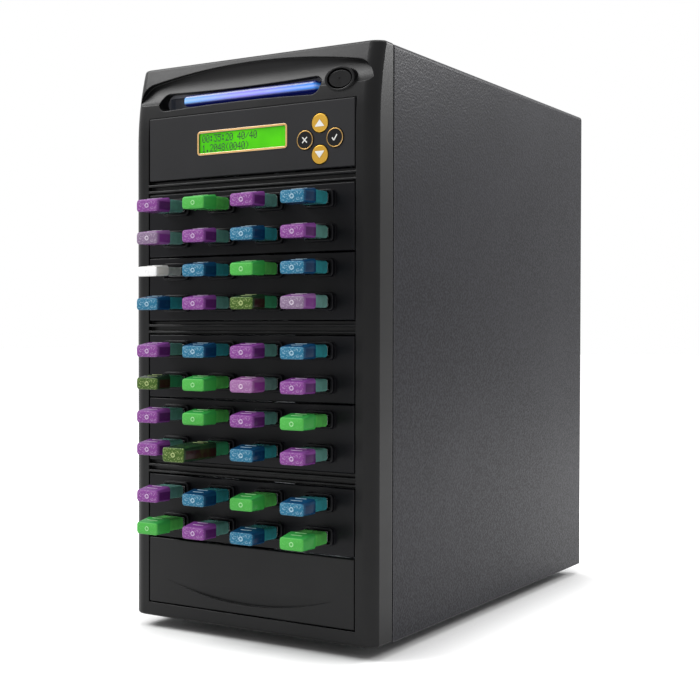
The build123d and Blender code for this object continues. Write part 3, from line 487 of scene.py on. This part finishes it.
plainStick = {"tip": (17.0, 7.4), "back": (19.0, 9.2), "reach": 31.2}
oddSticks = {  # by row from the top and column from the left: a slim one and a long one
    (3, 1): {"tip": (15.8, 6.2), "back": (16.4, 6.8), "reach": 31.2},
    (8, 2): {"tip": (16.7, 8.8), "back": (19.0, 9.8), "reach": 50.0},
}
stickShape = {"drop": 1.0, "corner": 1.9, "edge": 0.9, "neckLength": 13.6, "neckInset": 0.8,
              "plugShow": 5.4, "plug": (12.0, 4.5), "plugCorner": 0.3, "plugEnd": 9.4, "plugWall": 0.35,
              "plugFloor": 1.0, "ring": 1.2, "ringWire": 0.24, "bar": (8.0, 1.1, 0.35), "barTaper": 0.6,
              "barsAhead": (1.8, 6.4)}
stickColours = (
    ("purple", "green", "purple", "blue"),
    ("lilac", "purple", "blue", "purple"),
    ("silver", "blue", "green", "blue"),
    ("blue", "purple", "olive", "lilac"),
    ("purple", "blue", "purple", "blue"),
    ("olive", "green", "pink", "purple"),
    ("purple", "green", "purple", "green"),
    ("purple", "olive", "blue", "purple"),
    ("purple", "blue", "green", "blue"),
    ("green", "purple", "blue", "green"),
)
columnPitch = 36.6 * mm
# Cap, neck, plug and the pale finish of the raised ring and bars, which are finishes 0 to 3 of a stick; the
# pale finish is a painted highlight, and its colour also tints the specks
stickFinishes = {name: (tintedPlastic(name + "Cap", look), clearNeck(name + "Neck", look),
                        brightPlate, paleGlint(name + "Glint", look))
                 for name, look in stickLooks.items()}


def makeStick(row, column):
    plan = oddSticks.get((row, column), plainStick)
    tip, back = ([side * mm for side in plan[key]] for key in ("tip", "back"))
    drop = stickShape["drop"] * mm
    neckBack = (plan["reach"] - stickShape["plugShow"]) * mm
    capBack = neckBack - stickShape["neckLength"] * mm
    corner, edge, inset, wall, plugCorner, ring, ringWire = (stickShape[key] * mm for key in (
        "corner", "edge", "neckInset", "plugWall", "plugCorner", "ring", "ringWire"))
    shape = Shape()
    rings = []
    # the tip stands back by its ring's wire, so that the ring stays within the stick's reach
    for y, shrink in ((ringWire, edge), (edge * 0.5, edge * 0.35), (edge, 0), (capBack - edge / 2, 0),
                      (capBack, edge / 2)):
        share = y / capBack
        width, height = (near + (far - near) * share - 2 * shrink for near, far in zip(tip, back))
        rings.append(roundedRing(0, y, drop * share, width, height, corner - shrink / 2))
    shape.loft(rings, 0)
    shape.loft([roundedRing(0, y, drop, back[0] - 2 * side, back[1] - 2 * side, corner)
                for y, side in ((capBack, inset), (neckBack - edge / 2, inset),
                                (neckBack, inset + edge / 2))], 1)
    plug = [side * mm for side in stickShape["plug"]]
    plugEnd = (plan["reach"] + stickShape["plugEnd"]) * mm
    outer = [roundedRing(0, y, drop, *plug, plugCorner, 2) for y in (neckBack, plugEnd)]
    inner = [roundedRing(0, y, drop, plug[0] - 2 * wall, plug[1] - 2 * wall, plugCorner * 2 / 3, 2)
             for y in (plugEnd, neckBack + stickShape["plugFloor"] * mm)]
    shape.loft(outer + inner, 2)
    # a raised ring on the tip, coloured pale as a painted highlight
    hoop(shape, Vector((0, ringWire, 0)), ring, ringWire, 3, 20, 6)
    wide, long, high = (side * mm for side in stickShape["bar"])
    taper = stickShape["barTaper"]
    # raised bars across the top, coloured pale as painted highlights
    for ahead in stickShape["barsAhead"]:
        y = capBack - ahead * mm
        top = (tip[1] + (back[1] - tip[1]) * y / capBack) / 2 + drop * y / capBack
        shape.loft([roundedRing(0, y + step, top, wide * scale, high * scale, high / 3, 2)
                    for step, scale in ((-long / 2, taper), (-long / 4, 1.0), (long / 4, 1.0),
                                        (long / 2, taper))], 3)
    spot = Vector(((column - 2.5) * columnPitch, face - plan["reach"] * mm, rowHeight[row] - drop))
    made = shape.piece(f"stick_{row}_{column}", f"stick_row_{row}",
                       stickFinishes[stickColours[row - 1][column - 1]], 35, spot=spot)
    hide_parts(f"stick_row_{row}")


rowHeight = {}
shellHalf = 2.85 * mm  # half height of a socket's shell
for panel in range(1, 6):
    low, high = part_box(f"usb_sockets_{panel}")
    rowHeight[2 * panel - 1], rowHeight[2 * panel] = high.z - shellHalf, low.z + shellHalf
for row in range(1, 11):
    for column in range(1, 5):
        makeStick(row, column)
print("sticks made")


# Display: two lines of plain digits, made of dots five across and seven down

digitDots = {
    "0": "01110 10001 10011 10101 11001 10001 01110", "1": "00100 01100 00100 00100 00100 00100 01110",
    "2": "01110 10001 00001 00010 00100 01000 11111", "3": "11111 00010 00100 00010 00001 10001 01110",
    "4": "00010 00110 01010 10010 11111 00010 00010", "5": "11111 10000 11110 00001 00001 10001 01110",
    "6": "00110 01000 10000 11110 10001 10001 01110", "7": "11111 10001 00001 00010 00100 00100 00100",
    "8": "01110 10001 10001 01110 10001 10001 01110", "9": "01110 10001 10001 01111 00001 00010 01100",
    ":": "00000 01100 01100 00000 01100 01100 00000", "/": "00000 00001 00010 00100 01000 10000 00000",
    ".": "00000 00000 00000 00000 00000 01100 01100", "(": "00010 00100 01000 01000 01000 00100 00010",
    ")": "01000 00100 00010 00010 00010 00100 01000", " ": "00000 00000 00000 00000 00000 00000 00000",
}
displayText = {"lines": ("00:35:20 40/40", "1.2048(0040)"), "start": (-31.2, 4.8), "dot": 0.53,
               "pitch": 0.54, "character": 3.1, "line": 6.0, "thick": 0.04, "tall": 1.25}


def makeDigits():
    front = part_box("lcd_display")[0].y
    trimLow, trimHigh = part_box("lcd_trim")
    centre = (trimLow + trimHigh) / 2
    dot, pitch, thick = (displayText[key] * mm for key in ("dot", "pitch", "thick"))
    left, top = centre.x + displayText["start"][0] * mm, centre.z + displayText["start"][1] * mm
    shape = Shape()
    for line, text in enumerate(displayText["lines"]):
        for place, letter in enumerate(text):
            x, z = left + place * displayText["character"] * mm, top - line * displayText["line"] * mm
            spots = [Vector((x + across * pitch, front - thick / 2, z - down * pitch * displayText["tall"]))
                     for down, row in enumerate(digitDots[letter].split())
                     for across, lit in enumerate(row) if lit == "1"]
            shape.boxes(spots, (dot, thick, dot * displayText["tall"]))
    shape.piece("display_digits", "case", [inkGreen])


makeDigits()
print("display made")


# Key symbols: triangles on the gold keys, a gold rim with a cross or a tick on the black ones

keyShape = {"radius": 5.8, "rim": 0.62, "rimBack": (0.8, 0.1), "rimFront": 0.08, "rimRound": (0.25, 0.2),
            "rimInside": 0.05, "triangle": (6.9, 4.3), "thick": 0.12, "arm": 1.7, "stroke": 0.75,
            "crossing": 0.1}


def flatShape(shape, corners, y, thick, finish):
    front = [Vector((x, y - thick, z)) for x, z in corners]
    back = [Vector((x, y + thick, z)) for x, z in corners]
    shape.loft([front, back], finish)


def strokeCorners(start, end, width):
    along = (Vector(end) - Vector(start)).normalized()
    side = Vector((-along.y, along.x)) * width / 2
    return [tuple(Vector(start) + side), tuple(Vector(end) + side),
            tuple(Vector(end) - side), tuple(Vector(start) - side)]


def makeKeySymbols():
    thick, arm, stroke = (keyShape[key] * mm for key in ("thick", "arm", "stroke"))
    for name in ("key_up", "key_down", "key_escape", "key_enter"):
        low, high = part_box(name)
        x, y, z = (low.x + high.x) / 2, low.y, (low.z + high.z) / 2
        shape = Shape()
        if name in ("key_up", "key_down"):
            way = 1 if name == "key_up" else -1
            half, rise = keyShape["triangle"][0] / 2 * mm, way * keyShape["triangle"][1] / 2 * mm
            flatShape(shape, [(x - half, z - rise), (x + half, z - rise), (x, z + rise)], y, thick, 1)
        else:
            outside, inside = keyShape["radius"] * mm, (keyShape["radius"] - keyShape["rim"]) * mm
            outRound, inRound = (size * mm for size in keyShape["rimRound"])
            rimBack, shoulder = (size * mm for size in keyShape["rimBack"])
            ridge = -keyShape["rimFront"] * mm
            shape.loft([circleRing(Vector((x, y + back, z)), radius, 48, Vector((1, 0, 0)),
                                   Vector((0, 0, 1)))
                        for radius, back in ((outside, rimBack), (outside, shoulder),
                                             (outside - outRound, ridge), (inside + inRound, ridge),
                                             (inside, keyShape["rimInside"] * mm))],
                       0, looped=True)
            if name == "key_escape":
                marks = (((x - arm, z - arm), (x + arm, z + arm)),
                         ((x - arm, z + arm), (x + arm, z - arm)))
            else:
                foot = (x - arm * 0.3, z - arm)
                marks = (((x - arm, z), foot), (foot, (x + arm, z + arm)))
            for i, (start, end) in enumerate(marks):  # the second stroke a little thicker, as they cross
                flatShape(shape, strokeCorners(start, end, stroke), y,
                          thick * (1 + i * keyShape["crossing"]), 1)
        shape.piece(name + "_symbol", name, [goldRing, whiteInk])


makeKeySymbols()
print("keys made")


# Fan guards: bent wire with an eyelet at each screw

guardShape = {"wire": 0.8,  # half the wire's thickness
              "rings": (10.0, 18.5, 27.0, 35.5), "ringSteps": 64, "hole": 71.5, "eyelet": 2.8,
              "eyeletSteps": 24, "supplyAhead": 1.0}


def makeGuards():
    wire, eyelet, hole = (guardShape[key] * mm for key in ("wire", "eyelet", "hole"))
    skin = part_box("fan_guards")[1].y - 2 * wire
    shape = Shape()
    for rotor, back in (("case_fan_rotor", skin),
                        ("supply_fan_rotor", skin - guardShape["supplyAhead"] * mm)):
        low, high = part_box(rotor)
        centre = (low + high) / 2
        centre.y = back + wire
        for ring in guardShape["rings"]:
            hoop(shape, centre, ring * mm, wire, 0, guardShape["ringSteps"])
        for turn in (1, -1):
            corner = Vector((hole / 2, 0, turn * hole / 2))
            reach = 1 - eyelet / corner.length
            rod(shape, centre - corner * reach, centre + corner * reach, wire)
            for way in (1, -1):
                hoop(shape, centre + corner * way, eyelet, wire, 0, guardShape["eyeletSteps"])
    made = shape.piece("finger_guards", "case", [brightPlate], 60)
    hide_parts("fan_guards")


makeGuards()
print("guards made")


# Screws: domed heads with a cross recess, one for each of the frame's screws

screwShape = {"steps": 20, "head": 2.2, "dome": 0.5, "round": 0.6, "flat": 0.66, "shank": 1.4,
              # down from the top in domes and in rounds, and in from the side in rounds
              "profile": ((1, 1, 0), (1, 0, 0.5), (0.35, 0, 1.5)),
              "arm": 1.75, "width": 0.32, "armTaper": 0.6, "deep": 1.0, "floorShares": (0.55, 0.8)}


def solidBoxes(name):  # lowest and highest corner of each separate solid of a node
    data = frame["nodes"][name].data
    group = list(range(len(data.vertices)))

    def top(i):
        while group[i] != i:
            group[i] = group[group[i]]
            i = group[i]
        return i

    for edge in data.edges:
        group[top(edge.vertices[0])] = top(edge.vertices[1])
    spots = {}
    for vertex in data.vertices:
        spots.setdefault(top(vertex.index), []).append(vertex.co)
    return [(Vector([min(c[k] for c in part) for k in range(3)]),
             Vector([max(c[k] for c in part) for k in range(3)])) for part in spots.values()]


def crossRing(centre, arm, width):  # as many points as a round ring has
    taper = screwShape["armTaper"]
    points = []
    for quarter in range(4):
        out = Vector((math.cos(quarter * math.pi / 2), 0, math.sin(quarter * math.pi / 2)))
        left = Vector((-out.z, 0, out.x))
        for reach, side in ((width, -width), (arm * taper, -width), (arm, -width * taper),
                            (arm, width * taper), (arm * taper, width)):
            points.append(centre + out * reach + left * side)
    return points


def makeScrews(name, title):
    shape = Shape()
    across, up = Vector((1, 0, -1)).normalized(), Vector((1, 0, 1)).normalized()
    head, dome, rounding, arm, width, deep, shank = (
        screwShape[key] * mm for key in ("head", "dome", "round", "arm", "width", "deep", "shank"))
    for low, high in solidBoxes(name):
        x, z, radius = (low.x + high.x) / 2, (low.z + high.z) / 2, (high.x - low.x) / 2
        seat = high.y - head

        def ring(y, size):
            return circleRing(Vector((x, y, z)), size, screwShape["steps"], across, up)

        rings = [ring(low.y, shank), ring(seat, shank), ring(seat, radius)]
        for domes, rounds, inward in screwShape["profile"]:
            rings.append(ring(high.y - dome * domes - rounding * rounds, radius - rounding * inward))
        rings.append(ring(high.y, radius * screwShape["flat"]))
        armShare, widthShare = screwShape["floorShares"]
        shape.loft(rings + [crossRing(Vector((x, high.y, z)), arm, width),
                            crossRing(Vector((x, high.y - deep, z)), arm * armShare, width * widthShare)])
    made = shape.piece(title, "case", [blackScrew], 50)
    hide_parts(name)


makeScrews("cover_screws", "cover_screw_heads")
makeScrews("rear_screws", "rear_screw_heads")
print("screws made")


# Rocker marks and the inlet's metal pins

rockerMark = {"stroke": 0.6, "bar": 2.4, "ring": 1.1, "lift": 0.06}


def makeRockerMarks():
    low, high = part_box("supply_switch")
    centre = (low + high) / 2
    data = frame["nodes"]["supply_switch"].data
    shape = Shape()
    for way in (1, -1):
        faces = [item for item in data.polygons
                 if item.normal.y > 0.9 and (item.center.z - centre.z) * way > 0]
        corners = [data.vertices[i].co for item in faces for i in item.vertices]
        normal = sum((item.normal * item.area for item in faces), Vector()).normalized()
        middle = Vector([(min(c[k] for c in corners) + max(c[k] for c in corners)) / 2 for k in range(3)])
        up = (Vector((0, 0, 1)) - normal * normal.z).normalized()
        across = up.cross(normal)
        lift = rockerMark["lift"] * mm
        if way > 0:
            half, stroke = rockerMark["bar"] / 2 * mm, rockerMark["stroke"] / 2 * mm
            shape.loft([[middle + across * a * stroke + up * b * half + normal * h
                         for a, b in ((-1, -1), (1, -1), (1, 1), (-1, 1))] for h in (-lift, lift)])
        else:
            outer, inner = ((rockerMark["ring"] + side * rockerMark["stroke"] / 2) * mm for side in (1, -1))
            shape.loft([circleRing(middle + normal * h, radius, 32, across, up)
                        for radius, h in ((outer, -lift), (outer, lift), (inner, lift), (inner, -lift))],
                       looped=True)
    shape.piece("rocker_marks", "supply_switch", [whiteInk])


pinShape = {"size": (2.0, 4.0, 11.0), "corner": 0.3, "pitch": 14.0, "drop": 2.0, "earthRise": 4.0,
            "behind": 17.0, "skin": 0.04}


def makeInletPins():
    mouth = next(Vector(each["pos_m"]) for each in frame["record"]["mounts"]
                 if each["name"] == "mains_inlet")
    wide, high, long = (side * mm for side in pinShape["size"])
    corner, skin, pitch = (pinShape[key] * mm for key in ("corner", "skin", "pitch"))
    shape = Shape()
    for x, rise in ((-pitch / 2, 0), (pitch / 2, 0), (0, pinShape["earthRise"] * mm)):
        z = mouth.z + rise - pinShape["drop"] * mm
        back = mouth.y - pinShape["behind"] * mm
        shape.loft([roundedRing(mouth.x + x, back + y, z, wide + 2 * grow, high + 2 * grow, corner, 3)
                    for y, grow in ((skin, skin), (long - 2 * skin, skin), (long + skin, -corner))])
    shape.piece("inlet_pins", "case", [brightPlate])


makeInletPins()
makeRockerMarks()
print("switch and inlet made")


# Camera, floor and light

cameraView = {  # degrees; millimetres for the lens and for the place, from the middle of the front's foot
    "yaw": 31.58, "pitch": 0.90, "roll": 0.12, "lens": 64.72, "sensor": 36.0,
    "right": 64.99, "up": 176.06, "back": 790.15}


def makeCamera():
    yaw, pitch, roll = (math.radians(cameraView[key]) for key in ("yaw", "pitch", "roll"))
    back = Vector((math.sin(yaw) * math.cos(pitch), -math.cos(yaw) * math.cos(pitch), math.sin(pitch)))
    across = Vector((0, 0, 1)).cross(back).normalized()
    up = back.cross(across)
    right = across * math.cos(roll) + up * math.sin(roll)
    up = up * math.cos(roll) - across * math.sin(roll)
    spot = Vector((0, face, bodyBottom)) + (right * cameraView["right"] + up * cameraView["up"]
                                            + back * cameraView["back"]) * mm
    data = bpy.data.cameras.new("camera")
    data.lens, data.sensor_width = cameraView["lens"], cameraView["sensor"]
    data.clip_start, data.clip_end = 0.01, 50
    made = bpy.data.objects.new("camera", data)
    made.matrix_world = Matrix.Translation(spot) @ Matrix((right, up, back)).transposed().to_4x4()
    bpy.context.scene.collection.objects.link(made)
    bpy.context.scene.camera = made


lampPlan = {  # place, aim, size across and up, watts
    "leftHigh": ((-1.45, -1.0, 1.95), (0, -0.1, 0.25), (1.4, 1.2), 56),
    "overhead": ((0.1, 0.1, 1.8), (0, 0, 0.3), (1.2, 1.2), 12),
    "rightBack": ((1.08, 1.34, 1.08), (0.09, -0.1, 0.36), (0.5, 0.5), 18),
}
roomLight = {"ambient": 0.4, "background": 1.0}
# the last two set the reach and steepness of a painted contact shadow under the tower
floorLook = {"half": 9.0, "diffuse": "e6e6e6", "shade": "e0e0e0", "lift": 0.88, "paintedShadowReach": 0.06,
             "paintedShadowFalloff": 3.0}


def seenDirectly(recipe):
    rays = [recipe.node("ShaderNodeLightPath", output=name)
            for name in ("Is Camera Ray", "Is Glossy Ray", "Is Transmission Ray")]
    total = rays[0] + rays[1] + rays[2]
    return total.math("MINIMUM", total, 1.0)


def makeStudio():
    world = bpy.data.worlds.new("studio")
    bpy.context.scene.world = world
    recipe = Recipe("studio", world)
    background = recipe.tree.nodes["Background"]
    seen = seenDirectly(recipe)
    recipe.join(background.inputs["Color"], (1.0, 1.0, 1.0, 1.0))
    recipe.join(background.inputs["Strength"],
                seen * (roomLight["background"] - roomLight["ambient"]) + roomLight["ambient"])
    for name, (spot, aim, size, watts) in lampPlan.items():
        lamp = bpy.data.lights.new(name, "AREA")
        lamp.shape, lamp.size, lamp.size_y, lamp.energy = "RECTANGLE", size[0], size[1], watts
        made = bpy.data.objects.new(name, lamp)
        made.location = spot
        made.rotation_euler = (Vector(aim) - Vector(spot)).to_track_quat("-Z", "Y").to_euler()
        bpy.context.scene.collection.objects.link(made)


def makeFloor():
    recipe = Recipe("floor")
    cloud = recipe.spread(recipe.noise(3, 2), 0.3, 0.7, 0.0, 0.2)
    recipe.set(Base_Color=recipe.mix(cloud, floorLook["diffuse"], floorLook["shade"]),
               Roughness=0.9, Specular_IOR_Level=0.1)
    # the floor's glow fades near the tower by ambient occlusion: a painted contact shadow
    clear = recipe.node("ShaderNodeAmbientOcclusion", {"samples": 8},
                        {"Distance": floorLook["paintedShadowReach"]}, "AO")
    seen = seenDirectly(recipe) * clear ** floorLook["paintedShadowFalloff"]
    recipe.set(Emission_Color=recipe.mix(seen, "000000", "ffffff"), Emission_Strength=floorLook["lift"])
    shape = bmesh.new()
    bmesh.ops.create_grid(shape, x_segments=8, y_segments=8, size=floorLook["half"])
    data = bpy.data.meshes.new("floor")
    shape.to_mesh(data)
    shape.free()
    data.materials.append(recipe.block)
    made = bpy.data.objects.new("floor", data)
    made.location.z = cadLow.z
    bpy.context.scene.collection.objects.link(made)


makeCamera()
makeStudio()
makeFloor()
bpy.context.scene.view_settings.view_transform = "Standard"
print("studio made")
